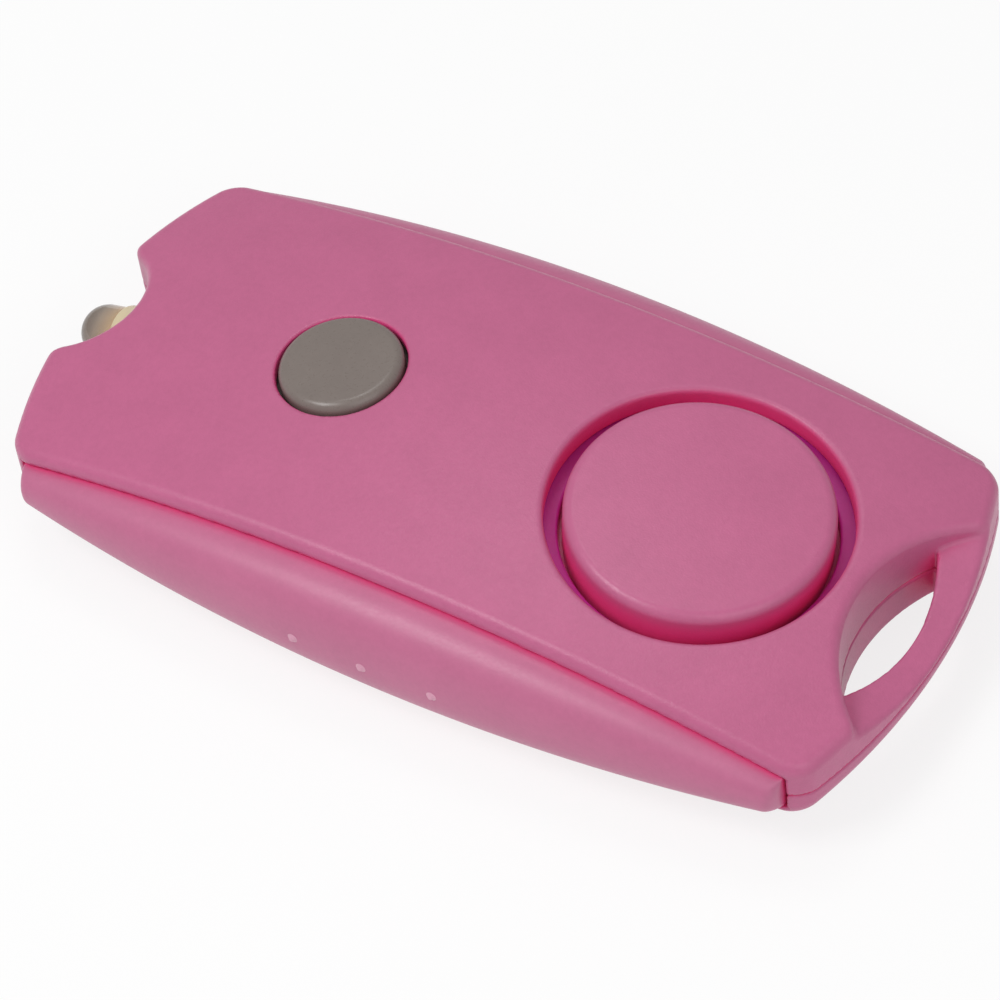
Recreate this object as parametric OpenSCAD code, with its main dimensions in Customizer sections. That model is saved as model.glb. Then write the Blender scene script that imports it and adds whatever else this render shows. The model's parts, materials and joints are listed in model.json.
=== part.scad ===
// Pocket safety alarm with a round alarm button, a torch button, a lamp at one end,
// a ring slot at the other end and two squeeze buttons along its sides.
// Millimetres. X runs from the lamp end to the ring slot, Z is up, the case rests on z = 0.

/* [Case] */
// Length of the case, from the lamp end to the ring slot end
body_l = 83; // [82:0.5:84]
// Width of the covers, without the side buttons
cover_w = 35.2; // [35:0.1:36]
// Rise of the long arch that the covers' edges follow, at mid-length over the two ends
arch_rise = 4.7; // [4.5:0.05:4.8]
// Height of the sides at mid-length, from the lower edges to the upper ones
side_h = 13.9; // [13.8:0.1:14.4]
// Height of the covers' rims above and below the side buttons
rim_h = 1.3; // [1.2:0.05:1.4]
// Extra rise of the top cover along its middle
crown_h = 1.4; // [1.3:0.05:1.6]
// Depth of the flat seam between the covers below the middle of the sides
seam_low = 0.2; // [0:0.05:0.3]
// Length of the flat that the case rests on
rest_l = 22; // [18:0.5:26]
// Wall thickness of the covers
wall = 1.3; // [1.2:0.05:1.35]
// Rounding along the covers' long edges
edge_r = 0.9; // [0.7:0.1:1]
// How far the lamp end bows out
lamp_bow = 3.85; // [3.5:0.05:4.1]
// How far the ring slot end bows out
ring_bow = 3.3; // [3:0.05:3.5]
// Rounding of the four corners seen from above
corner_r = 1.8; // [1.2:0.1:2.2]

/* [Side buttons] */
// How far a side button bulges past the covers at mid-length
bulge = 4.4; // [4.2:0.05:4.6]
// Fullness of a side button's section: 2 is an ellipse, more is squarer
fullness = 2.3; // [2:0.1:2.6]
// How far a side button's tips stand past the covers
tip_bulge = 1.7; // [1.3:0.1:2]
// Distance from the lamp end to a side button's tip
tip_lamp = 5; // [4.9:0.1:6]
// Distance from the ring slot end to a side button's tip
tip_ring = 4.9; // [4.8:0.1:6]
// Gap between a side button and the covers
panel_gap = 0.25; // [0.2:0.05:0.35]
// Travel of a side button
side_travel = 1; // [0.6:0.1:1]
// Distance between two grip pips
pip_pitch = 6.7; // [5:0.1:8]

/* [Alarm button] */
// Distance of the alarm button's middle from the ring slot end
alarm_in = 21.55; // [21.5:0.05:21.9]
// Radius of the alarm button
alarm_r = 11.2; // [10.9:0.1:11.3]
// Width of the open gap round it
alarm_gap = 1.55; // [1.3:0.05:1.6]
// How far the alarm button stands above the cover's crest
alarm_top = 0.25; // [0.1:0.05:0.4]
// Depth of the well below the cover's crest
well_depth = 3; // [2.8:0.1:3.1]
// Travel of the alarm button
alarm_travel = 1; // [0.6:0.1:1]

/* [Torch] */
// Distance between the middles of the torch button and the alarm button
buttons_apart = 34.55; // [34.2:0.05:35]
// Radius of the torch button
torch_r = 5.4; // [5:0.1:5.6]
// How far the torch button stands above the cover
torch_rise = 0.55; // [0.3:0.05:0.8]
// Travel of the torch button
torch_travel = 0.6; // [0.4:0.1:0.6]
// Radius of the lamp
lamp_r = 2.5; // [2.3:0.1:2.6]
// Distance from the lamp end to the middle of the lamp's dome
lamp_in = 1.6; // [1.4:0.1:1.9]
// Depth of the middle of the lamp's dome below the middle of the sides
lamp_drop = 0.6; // [0.4:0.1:0.8]
// Downward tilt of the lamp in degrees
lamp_tilt = 15; // [12:1:17]
// Radius of the scooped notch round the lamp
notch_r = 7.8; // [7.6:0.1:8.1]

/* [Ring slot] */
// Distance from the ring slot end to the inner side of the slot
slot_in = 7.1; // [7:0.05:7.2]
// Width of the bar that closes the slot, at its middle
bar_w = 2.4; // [2.3:0.05:2.5]
// Radius of the slot's inner side
slot_r = 14.3; // [13.8:0.1:15]
// Radius of the slot's outer side
slot_out_r = 18; // [16:0.5:20]
// Height of the bar's inner edge above the seam
bar_rise = 1; // [0.8:0.1:1.6]

/* [Inside] */
// Radius of a button cell
cell_r = 5.8; // [5.7:0.05:5.8]
// Height of a button cell
cell_h = 5.4; // [5:0.1:5.4]
// Clearance between a button or plunger and what it slides in
slide_gap = 0.3; // [0.25:0.05:0.35]
// Thickness of the two boards
board_t = 1.1; // [0.9:0.1:1.2]
// Radius of a wire
wire_r = 0.4; // [0.3:0.05:0.45]
// Length of a case screw under its head
screw_l = 5; // [4.6:0.1:5.4]

/* [Hidden] */

// Resolution of small round shapes and of the long arches
$fn = 64;
arc_fn = 360;

// Arches: the top one is centred far below the case, the bottom one far above it
half_l = body_l / 2;
arch_r = (half_l * half_l + arch_rise * arch_rise) / (2 * arch_rise);
half_w = cover_w / 2;
half_h = side_h / 2;
flat_cut = arch_r - sqrt(arch_r * arch_r - rest_l * rest_l / 4);
mid_z = half_h - flat_cut;
seam_z = mid_z - seam_low;
axis_up_z = mid_z + half_h - arch_r;
axis_low_z = mid_z - half_h + arch_r;
top_r = arch_r + crown_h;
crown_r = (half_w * half_w + crown_h * crown_h) / (2 * crown_h);
big = 60;

// Ends
lamp_end_r = (half_w * half_w + lamp_bow * lamp_bow) / (2 * lamp_bow);
ring_end_r = (half_w * half_w + ring_bow * ring_bow) / (2 * ring_bow);
notch_x = -half_l - 3.8;
slot_in_x = half_l - slot_in;
slot_out_x = half_l - bar_w;
bar_z = seam_z + bar_rise;
slot_in_c = slot_in_x + slot_r;
slot_out_c = slot_out_x - slot_out_r;
scoop_r = 38;
scoop_slope = 12;

// Side buttons: the skin fills the opening, a neck passes a window in a rib inside,
// and a lip behind the rib keeps the button in
tip_a = half_l - tip_lamp;
tip_b = half_l - tip_ring;
skin_back = half_w - 1.2;
rib_y = skin_back - side_travel - 0.2;
rib_t = 1;
rib_end = 3;
lip_y = rib_y - rib_t - slide_gap;
lip_t = 0.9;
lip = 1.2;
neck_low = mid_z - 1.7;
neck_up = mid_z + 2.9;
neck_t = 1;
skin_t = 2;
hollow_end = 6;
pip_r = 0.6;

// Alarm button, measured down from the cover's crest
alarm_x = half_l - alarm_in;
alarm_hole_r = alarm_r + alarm_gap;
alarm_cap_t = 1.4;
alarm_ring_t = 1;
alarm_ring_r = alarm_hole_r + 0.5;
alarm_flange_r = alarm_hole_r + 0.3;
alarm_flange_t = 0.8;
alarm_flange_z = -well_depth - alarm_ring_t - slide_gap;
alarm_plunger_z = -3.4;
alarm_switch_z = -4.5;
alarm_switch_h = 2.6;
alarm_board_z = alarm_switch_z - alarm_switch_h;
alarm_pocket = alarm_travel + 0.9;
alarm_board_l = 9;

// Torch button, measured down from the cover's crest
torch_cx = alarm_x - buttons_apart;
torch_flange_r = torch_r + 1.1;
torch_flange_z = -1.9;
torch_flange_t = 0.8;
torch_plunger_z = -3.7;
torch_switch_z = -4.6;
torch_switch_h = 3.3;
torch_pocket = torch_travel + 1.1;
plunger_r = 1.5;
plunger_l = 1.6;

// Lamp
lamp_x = half_l - lamp_in;
lamp_z = mid_z - lamp_drop;
collar_r = lamp_r + 0.25;
collar_from = 2.2;
collar_to = 7;
lead_y = 1.27;
lead_r = 0.25;
lead_to = 9.8;

// Battery
cells = 3;
cell_gap = 0.05;
stack_l = cells * (cell_h + cell_gap);
holder_t = 0.3;
holder_side = 0.8;
holder_end = 1;
cell_room = 0.15;
spring_l = 1.2;
contact_t = 0.4;
battery_gap = 1.95;
battery_x = alarm_x - alarm_flange_r - cell_r - battery_gap;
holder_half = cell_r + cell_room + holder_side;
holder_z = floor_z(abs(battery_x) + holder_half) + 0.04;
cell_z = holder_z + holder_t + cell_r;
holder_plus = stack_l / 2 + contact_t;
holder_minus = stack_l / 2 + spring_l + contact_t;
wire_z = cell_z + 1.9;
wire_room = 0.12;
side_wire_y = holder_minus + holder_end + wire_r + wire_room;

// Boards
board_z = crest_z(torch_cx) + torch_switch_z - torch_switch_h;
board_left = 10 - half_l;
board_neck = board_left + 6;
board_right = battery_x - holder_half - 0.75;
board_w = 2 * side_wire_y + 0.4;
board_neck_w = 10;
post_r = 1.3;
post_in = 1.6;
switch_w = 6;
torch_switch_x = torch_cx - sin(crest_tilt(torch_cx)) * (crest_z(torch_cx) - board_z - torch_switch_h);
side_switch_x = torch_switch_x;
neck_a = side_switch_x - 5.6;
neck_b = alarm_x - alarm_flange_r - 3.3;
side_switch_w = 5.2;
side_switch_y = 6.6;
side_switch_d = 3.4;
side_switch_h = 3.2;
side_plunger_out = 1.3;
side_plunger_in = 0.6;
side_plunger_r = 0.9;
side_post_r = 1.2;
side_pocket = side_travel + 1.2;
part_y = 6;

// Sounder
piezo_x = alarm_x - 2.25;
piezo_r = 8.2;
piezo_z = floor_z(piezo_x + piezo_r) + 0.75;
gasket_t = 0.5;
plate_t = 0.3;

// Screws
screw_lamp = [12.5 - half_l, 9.5];
screw_ring = [half_l - 8.5, 10.3];
screw_at = [for (p = [screw_lamp, screw_ring]) for (s = [-1, 1]) [p[0], s * p[1]]];
screw_r = 0.9;
screw_head_r = 1.8;
screw_head_t = 1.2;
screw_sink = 1.6;

// Colours
pink = [0.76, 0.41, 0.56];
pink_light = [0.78, 0.46, 0.59];
purple = [0.42, 0.2, 0.45];
grey = [0.52, 0.5, 0.46];
cream = [0.86, 0.8, 0.62];
steel = [0.75, 0.76, 0.78];
brass = [0.78, 0.62, 0.3];
board_green = [0.1, 0.4, 0.25];
black = [0.12, 0.12, 0.13];

// Drop of an arch of radius r at distance x from its middle
function drop(x, r = arch_r) = r - sqrt(r * r - x * x);
// Height of the cover's crest, and its slope, at x
function crest_z(x) = axis_up_z + sqrt(top_r * top_r - x * x);
function crest_tilt(x) = asin(x / top_r);
// Height of the underside, of a screw's seat and of the inner floor at x
function under_z(x) = axis_low_z - sqrt(arch_r * arch_r - x * x);
function seat_z(x) = under_z(x) + screw_sink;
function floor_z(x) = axis_low_z - sqrt(pow(arch_r - wall, 2) - x * x);
// Rise of the crown above the rim at distance y from the middle
function crown_at(y) = sqrt(crown_r * crown_r - y * y) - crown_r + crown_h;

// Places its children on the cover's crest at x, with Z along the cover's normal
module on_crest(x) {
  translate([x, 0, crest_z(x)])
    rotate([0, crest_tilt(x), 0])
      children();
}

// Places its children on the lamp's axis, with Z running back into the case
module on_lamp() {
  translate([-lamp_x, 0, lamp_z])
    rotate([0, 90 - lamp_tilt, 0])
      children();
}

// Solid under the top arch, and solid above the bottom arch, between two y values
module under_arch(r, y0 = -big, y1 = big) {
  translate([0, y1, axis_up_z])
    rotate([90, 0, 0])
      cylinder(r = r, h = y1 - y0, $fn = arc_fn);
}

module over_arch(r, y0 = -big, y1 = big) {
  translate([0, y1, axis_low_z])
    rotate([90, 0, 0])
      cylinder(r = r, h = y1 - y0, $fn = arc_fn);
}

// Box between two corners
module box(a, b) {
  translate(a)
    cube(b - a);
}

// Straight round rod between two points
module rod(a, b, r) {
  d = b - a;
  translate(a)
    rotate([0, acos(d[2] / norm(d)), atan2(d[1], d[0])])
      cylinder(r = r, h = norm(d));
}

// Wire through a list of points, with a bead of insulation at each bend
module wire(points, r) {
  for (i = [1 : len(points) - 1])
    rod(points[i - 1], points[i], r);
  for (i = [1 : len(points) - 2])
    translate(points[i])
      sphere(r = 1.1 * r);
}

// Bowed end: a disc, and everything on its far side from the end
module bowed_end(r, inset) {
  circle(r = r - inset, $fn = arc_fn);
  translate([0, -big])
    square([2 * big, 2 * big]);
}

// What a rounded corner takes off between a straight side and an end bowed at radius r,
// with the end's centre at the origin and the end towards -x. A faint edge stays at each side of it
corner_edge = 0.12;
module corner_off(r) {
  side_y = half_w - corner_r;
  at_x = -sqrt(pow(r - corner_r, 2) - side_y * side_y);
  reach = r / (r - corner_r);
  for (s = [-1, 1])
    difference() {
      polygon([[at_x, s * side_y], [at_x, s * (half_w + 1)], [at_x * reach - 1, s * (half_w + 1)],
               [at_x * reach, s * side_y * reach]]);
      translate([at_x, s * side_y])
        circle(r = corner_r + corner_edge);
    }
}

// Outline of the case seen from above
module plan() {
  difference() {
    intersection() {
      square([2 * big, cover_w], center = true);
      translate([lamp_end_r - half_l, 0])
        bowed_end(lamp_end_r, 0);
      translate([half_l - ring_end_r, 0])
        mirror([1, 0])
          bowed_end(ring_end_r, 0);
    }
    translate([lamp_end_r - half_l, 0])
      corner_off(lamp_end_r);
    translate([half_l - ring_end_r, 0])
      mirror([1, 0])
        corner_off(ring_end_r);
  }
}

// Outline of the space inside the walls
module inner_plan() {
  intersection() {
    square([2 * big, cover_w - 2 * wall], center = true);
    translate([lamp_end_r - half_l, 0])
      bowed_end(lamp_end_r, wall);
    translate([half_l - ring_end_r, 0])
      mirror([1, 0])
        bowed_end(ring_end_r, wall);
  }
}

module upright() {
  translate([0, 0, -1])
    linear_extrude(height = big / 2)
      children();
}

// Section of the top cover: radius from the arch's axis along x, width along y
section_deep = 12;
module top_section() {
  ee = half_w - edge_r;
  shoulder = crown_at(ee) - edge_r;
  intersection() {
    translate([arch_r - section_deep, -ee])
      square([section_deep + 2 * crown_h, 2 * ee]);
    translate([top_r - crown_r, 0])
      circle(r = crown_r, $fn = 2 * arc_fn);
  }
  translate([arch_r - section_deep, -half_w])
    square([section_deep + shoulder, cover_w]);
  for (s = [-1, 1])
    translate([arch_r + shoulder, s * ee])
      circle(r = edge_r);
}

// Section of the space under the top cover's wall
module top_hollow_section() {
  intersection() {
    translate([arch_r - section_deep - 1, wall - half_w])
      square([section_deep + 3, cover_w - 2 * wall]);
    translate([top_r - crown_r, 0])
      circle(r = crown_r - wall, $fn = 2 * arc_fn);
  }
}

// Section of the bottom cover, with rounded lower edges
module low_section() {
  ee = half_w - edge_r;
  translate([arch_r - section_deep, -half_w])
    square([section_deep - edge_r, cover_w]);
  translate([arch_r - section_deep, -ee])
    square([section_deep, 2 * ee]);
  for (s = [-1, 1])
    translate([arch_r - edge_r, s * ee])
      circle(r = edge_r);
}

module swept_up() {
  translate([0, 0, axis_up_z])
    rotate([-90, 0, 0])
      rotate_extrude($fn = 2 * arc_fn)
        children();
}

module swept_low() {
  translate([0, 0, axis_low_z])
    rotate([-90, 0, 0])
      rotate_extrude($fn = 2 * arc_fn)
        children();
}

// Round regions that the hollow inside keeps away from
module end_walls() {
  translate([notch_x, 0, -1])
    cylinder(r = notch_r + wall, h = big / 2);
  translate([slot_in_c, 0, -1])
    cylinder(r = slot_r + wall, h = big / 2);
}

// Notch round the lamp, ring slot and lamp bore, cut through both covers
module end_cuts() {
  translate([notch_x, 0, -1])
    cylinder(r = notch_r, h = big / 2);
  intersection() {
    translate([slot_in_c, 0, -1])
      cylinder(r = slot_r, h = big / 2);
    translate([slot_out_c, 0, -1])
      cylinder(r = slot_out_r, h = big / 2);
  }
  on_lamp()
    cylinder(r = collar_r + 0.1, h = collar_to + 0.3);
}

// Dished recess over the bar at the ring slot end
module bar_scoop() {
  intersection() {
    translate([slot_in_c, 0, -1])
      cylinder(r = slot_r, h = big / 2);
    translate([slot_out_x, 0, bar_z])
      rotate([0, scoop_slope, 0])
        translate([-big / 2, 0, scoop_r])
          rotate([0, 90, 0])
            cylinder(r = scoop_r, h = big);
  }
}

module top_body() {
  intersection() {
    swept_up()
      top_section();
    upright()
      plan();
    box([-big, -big, seam_z], [big, big, big]);
  }
}

module top_hollow() {
  difference() {
    intersection() {
      swept_up()
        top_hollow_section();
      upright()
        inner_plan();
    }
    end_walls();
  }
}

module top_cover() {
  color(pink)
    difference() {
      union() {
        difference() {
          top_body();
          top_hollow();
          side_openings();
        }
        intersection() {
          top_body();
          union() {
            on_crest(alarm_x)
              translate([0, 0, -well_depth])
                cylinder(r = alarm_hole_r + wall, h = well_depth + 1);
            for (p = screw_at)
              translate([p[0], p[1], 0])
                cylinder(r = 2.2, h = big / 2);
            side_ribs();
          }
        }
      }
      on_crest(alarm_x)
        translate([0, 0, -well_depth - 3])
          cylinder(r = alarm_hole_r, h = well_depth + 5);
      on_crest(torch_cx)
        translate([0, 0, -wall - 3])
          cylinder(r = torch_r + slide_gap, h = wall + 5);
      for (p = screw_at)
        translate([p[0], p[1], 0])
          cylinder(r = screw_r + 0.05, h = seat_z(p[0]) + screw_l + 0.2);
      end_cuts();
      bar_scoop();
    }
}

module bottom_body() {
  intersection() {
    intersection() {
      swept_low()
        low_section();
      box([-big, -big, 0], [big, big, seam_z]);
    }
    upright()
      plan();
  }
}

module bottom_hollow() {
  difference() {
    intersection() {
      upright()
        inner_plan();
      over_arch(arch_r - wall);
    }
    end_walls();
  }
}

// Lens-shaped openings in the two side walls that the side buttons stand in
module side_openings() {
  intersection() {
    under_arch(arch_r - rim_h);
    over_arch(arch_r - rim_h);
    difference() {
      box([-tip_a - panel_gap, -big, 0], [tip_b + panel_gap, big, big]);
      box([-big, -rib_y, -1], [big, rib_y, big]);
    }
  }
}

// Ribs behind the openings, each with the window that a side button's neck passes
module side_ribs() {
  for (s = [0, 1])
    mirror([0, s, 0])
      difference() {
        box([neck_a - rib_end, rib_y - rib_t, 0], [neck_b + rib_end, rib_y, big]);
        box([neck_a - slide_gap, 0, neck_low - slide_gap], [neck_b + slide_gap, big, neck_up + slide_gap]);
      }
}

// Posts under the boards, screw bosses and the sounder's ring wall
module bottom_supports() {
  for (p = screw_at)
    translate([p[0], p[1], 0])
      cylinder(r = 2.4, h = big / 2);
  for (x = [board_neck + post_in, board_right - post_in])
    for (s = [-1, 1])
      translate([x, s * (board_w / 2 - post_in), 0])
        cylinder(r = post_r, h = board_z - board_t);
  on_crest(alarm_x)
    for (s = [-1, 1])
      translate([0, s * (board_w / 2 - post_in), alarm_board_z - board_t - seam_z])
        cylinder(r = post_r, h = seam_z);
  translate([piezo_x, 0, 0])
    difference() {
      cylinder(r = piezo_r + 0.1, h = piezo_z);
      translate([0, 0, -1])
        cylinder(r = piezo_r - 1.1, h = piezo_z + 2);
    }
}

module bottom_cover() {
  color(pink)
    difference() {
      union() {
        difference() {
          bottom_body();
          bottom_hollow();
          side_openings();
        }
        intersection() {
          bottom_body();
          union() {
            bottom_supports();
            side_ribs();
          }
        }
      }
      for (p = screw_at)
        translate([p[0], p[1], -1]) {
          cylinder(r = screw_r + 0.25, h = big / 2);
          cylinder(r = screw_head_r + 0.2, h = 1 + seat_z(p[0]));
        }
      end_cuts();
    }
}

// Half height and bulge of a side button at x
function panel_half(x) = half_h - rim_h - panel_gap - drop(x);
function panel_bulge(x) = bulge - (bulge - tip_bulge) * drop(x) / drop(tip_b);
// Point of the outer face at x, at angle a from its upper edge
function full(v) = sign(v) * pow(abs(v), 2 / fullness);
function panel_point(x, a) =
  [x, half_w + panel_bulge(x) * full(sin(a)), mid_z + panel_half(x) * full(cos(a))];

// Bulging skin of a side button: closed sections along x, joined by triangles
module panel_shell() {
  stations = 36;
  steps = 14;
  xs = [for (i = [0 : stations]) let (t = -cos(180 * i / stations)) t < 0 ? t * tip_a : t * tip_b];
  n = steps + 3;
  points = [for (x = xs) each concat(
    [for (j = [0 : steps]) panel_point(x, 180 * j / steps)],
    [for (s = [-1, 1]) [x, skin_back, mid_z + s * panel_half(x)]])];
  sides = [for (i = [0 : stations - 1]) for (j = [0 : n - 1])
    let (a = i * n + j, b = i * n + (j + 1) % n)
      each [[a, b, b + n], [a, b + n, a + n]]];
  caps = [for (j = [1 : n - 2]) each [
    [0, j + 1, j],
    [stations * n, stations * n + j, stations * n + j + 1]]];
  polyhedron(points = points, faces = concat(sides, caps));
}

// Side button on the +Y side: skin with a hollow back, neck, retaining lip, grip pips and switch post
module side_button() {
  difference() {
    panel_shell();
    intersection() {
      under_arch(arch_r - rim_h - skin_t, 0, half_w + 1);
      over_arch(arch_r - rim_h - skin_t, 0, half_w + 1);
      box([hollow_end - tip_a, 0, 0], [tip_b - hollow_end, big, big]);
    }
  }
  difference() {
    union() {
      box([neck_a, lip_y - lip_t, neck_low], [neck_b, half_w + 2, neck_up]);
      box([neck_a - lip, lip_y - lip_t, neck_low - lip], [neck_b + lip, lip_y, neck_up + lip]);
    }
    box([neck_a + neck_t, 0, neck_low + neck_t], [neck_b - neck_t, half_w + 1, neck_up - neck_t]);
  }
  for (i = [-1 : 1])
    translate(panel_point(i * pip_pitch, 90) - [0, pip_r / 2, 0])
      sphere(r = pip_r);
  rod([side_switch_x, side_plunger_y(), side_plunger_z()],
      [side_switch_x, half_w + 1.5, side_plunger_z()], side_post_r);
}

module side_button_left() {
  color(pink_light)
    mirror([0, 1, 0])
      side_button();
}

module side_button_right() {
  color(pink_light)
    side_button();
}

module alarm_button() {
  color(pink)
    on_crest(alarm_x) {
      difference() {
        union() {
          rotate_extrude() {
            translate([0, alarm_flange_z])
              square([alarm_r, alarm_top - edge_r * 0.7 - alarm_flange_z]);
            square_to(alarm_r - edge_r * 0.7, alarm_top - edge_r * 0.7, alarm_top);
            translate([alarm_r - edge_r * 0.7, alarm_top - edge_r * 0.7])
              circle(r = edge_r * 0.7);
          }
          translate([0, 0, alarm_flange_z - alarm_flange_t])
            cylinder(r = alarm_flange_r, h = alarm_flange_t);
        }
        translate([0, 0, alarm_flange_z - alarm_flange_t - 1])
          cylinder(r = alarm_r - 1.3, h = alarm_top - alarm_cap_t - alarm_flange_z + alarm_flange_t + 1);
      }
      translate([0, 0, alarm_plunger_z])
        cylinder(r = 1.6, h = alarm_top - alarm_cap_t / 2 - alarm_plunger_z);
    }
}

// Rectangle from the axis out to x, between two heights
module square_to(x, z0, z1) {
  translate([0, z0])
    square([x, z1 - z0]);
}

module sound_ring() {
  color(purple)
    on_crest(alarm_x)
      translate([0, 0, -well_depth - alarm_ring_t])
        difference() {
          cylinder(r = alarm_ring_r, h = alarm_ring_t);
          translate([0, 0, -1])
            cylinder(r = alarm_r + slide_gap + 0.05, h = alarm_ring_t + 2);
        }
}

module torch_button() {
  soft = 0.8;
  color(grey)
    on_crest(torch_cx) {
      rotate_extrude() {
        square_to(torch_r, torch_flange_z - torch_flange_t, torch_rise - soft);
        square_to(torch_r - soft, torch_rise - soft, torch_rise);
        intersection() {
          translate([torch_r - soft, torch_rise - soft])
            circle(r = soft);
          translate([0, torch_rise - soft])
            square([torch_r, soft]);
        }
        square_to(torch_flange_r, torch_flange_z - torch_flange_t, torch_flange_z);
      }
      translate([0, 0, torch_plunger_z])
        cylinder(r = plunger_r, h = torch_flange_z - torch_plunger_z);
    }
}

module torch_led() {
  color([0.72, 0.68, 0.6])
    on_lamp() {
      intersection() {
        sphere(r = lamp_r);
        box([-big, -big, -big], [big, big, 0]);
      }
      cylinder(r = lamp_r, h = collar_from);
      translate([0, 0, collar_from])
        cylinder(r = lamp_r - 0.6, h = 4.5);
    }
}

module led_collar() {
  color(cream)
    on_lamp()
      translate([0, 0, collar_from])
        difference() {
          cylinder(r = collar_r, h = collar_to - collar_from);
          translate([0, 0, -1])
            cylinder(r = lamp_r - 0.55, h = collar_to - collar_from + 2);
        }
}

// Point on the lamp's axis, at a distance back from its dome
function lamp_point(d, y) = [d * cos(lamp_tilt) - lamp_x, y, lamp_z + d * sin(lamp_tilt)];

module led_leads() {
  color(steel)
    for (s = [-1, 1])
      wire([lamp_point(collar_from + 4.5, s * lead_y), lamp_point(lead_to, s * lead_y),
            [lamp_point(lead_to, 0)[0], s * lead_y, board_z]], lead_r);
}

module circuit_board() {
  color(board_green)
    translate([0, 0, board_z - board_t])
      linear_extrude(height = board_t) {
        translate([board_neck, -board_w / 2])
          square([board_right - board_neck, board_w]);
        translate([board_left, -board_neck_w / 2])
          square([board_neck - board_left + 1, board_neck_w]);
      }
}

module torch_switch() {
  color(black)
    difference() {
      box([torch_switch_x - switch_w / 2, -switch_w / 2, board_z],
          [torch_switch_x + switch_w / 2, switch_w / 2, board_z + torch_switch_h]);
      translate([torch_switch_x, 0, board_z + torch_switch_h - torch_pocket])
        cylinder(r = plunger_r + slide_gap + 0.1, h = torch_pocket + 1);
    }
}

module torch_switch_plunger() {
  color(cream)
    on_crest(torch_cx)
      translate([0, 0, torch_plunger_z - plunger_l])
        cylinder(r = plunger_r, h = plunger_l);
}

function side_plunger_z() = board_z + side_switch_h / 2;
function side_plunger_y() = side_switch_y + side_switch_d + side_plunger_out;

module side_switch() {
  difference() {
    box([side_switch_x - side_switch_w / 2, side_switch_y, board_z],
        [side_switch_x + side_switch_w / 2, side_switch_y + side_switch_d, board_z + side_switch_h]);
    rod([side_switch_x, side_switch_y + side_switch_d - side_pocket, side_plunger_z()],
        [side_switch_x, side_switch_y + side_switch_d + 1, side_plunger_z()], side_plunger_r + slide_gap);
  }
}

module side_switch_plunger() {
  rod([side_switch_x, side_switch_y + side_switch_d - side_plunger_in, side_plunger_z()],
      [side_switch_x, side_plunger_y(), side_plunger_z()], side_plunger_r);
}

module side_switch_left() {
  color(black)
    mirror([0, 1, 0])
      side_switch();
}

module side_switch_plunger_left() {
  color(cream)
    mirror([0, 1, 0])
      side_switch_plunger();
}

module side_switch_right() {
  color(black)
    side_switch();
}

module side_switch_plunger_right() {
  color(cream)
    side_switch_plunger();
}

module alarm_board() {
  color(board_green)
    on_crest(alarm_x)
      box([-alarm_board_l / 2, -board_w / 2, alarm_board_z - board_t],
          [alarm_board_l / 2, board_w / 2, alarm_board_z]);
}

module alarm_switch() {
  color(black)
    on_crest(alarm_x)
      difference() {
        box([-switch_w / 2, -switch_w / 2, alarm_board_z], [switch_w / 2, switch_w / 2, alarm_switch_z]);
        translate([0, 0, alarm_switch_z - alarm_pocket])
          cylinder(r = plunger_r + slide_gap, h = alarm_pocket + 1);
      }
}

module alarm_switch_plunger() {
  color(cream)
    on_crest(alarm_x)
      translate([0, 0, alarm_plunger_z - plunger_l])
        cylinder(r = plunger_r, h = plunger_l);
}

module piezo_gasket() {
  color(black)
    translate([piezo_x, 0, piezo_z])
      difference() {
        cylinder(r = piezo_r, h = gasket_t);
        translate([0, 0, -1])
          cylinder(r = piezo_r - 1, h = gasket_t + 2);
      }
}

module piezo_plate() {
  color(brass)
    translate([piezo_x, 0, piezo_z + gasket_t])
      cylinder(r = piezo_r, h = plate_t);
}

module piezo_ceramic() {
  color([0.85, 0.84, 0.8])
    translate([piezo_x, 0, piezo_z + gasket_t + plate_t])
      cylinder(r = piezo_r * 0.7, h = plate_t);
}

// Trough for the cells, with a wall at each end
module battery_holder() {
  side = cell_r + cell_room;
  color(black)
    translate([battery_x, 0, 0])
      difference() {
        box([-holder_half, -holder_minus - holder_end, holder_z],
            [holder_half, holder_plus + holder_end, cell_z + 0.9]);
        box([-side, -holder_minus, holder_z + holder_t], [side, holder_plus, big]);
      }
}

module battery_cells() {
  rim = 0.7;
  color(steel)
    for (i = [0 : cells - 1])
      translate([battery_x, i * (cell_h + cell_gap) - stack_l / 2, cell_z])
        rotate([-90, 0, 0]) {
          cylinder(r = cell_r - 1, h = rim);
          translate([0, 0, rim])
            cylinder(r = cell_r, h = cell_h - rim);
        }
}

// Sheet-metal contact across one end of the trough
contact_half = 4;
module contact_sheet(y) {
  box([-contact_half, y, cell_z - contact_half], [contact_half, y + contact_t, cell_z + 3]);
}

module battery_contact_plate() {
  color(brass)
    translate([battery_x, 0, 0])
      contact_sheet(stack_l / 2);
}

module battery_contact_spring() {
  y = -stack_l / 2 - spring_l;
  color(steel)
    translate([battery_x, 0, 0]) {
      translate([0, y, cell_z])
        rotate([-90, 0, 0])
          difference() {
            cylinder(r1 = contact_half, r2 = 2.6, h = spring_l);
            translate([0, 0, -0.01])
              cylinder(r1 = contact_half - 0.6, r2 = 2, h = spring_l + 0.02);
          }
      contact_sheet(y - contact_t);
    }
}

module driver_chip() {
  color(black)
    box([board_left + 1.8, 2.2, board_z], [board_left + 5.8, 4.8, board_z + 1.5]);
}

coil_r = 2.6;
coil_h = 3;
coil_rim = 0.7;

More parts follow.
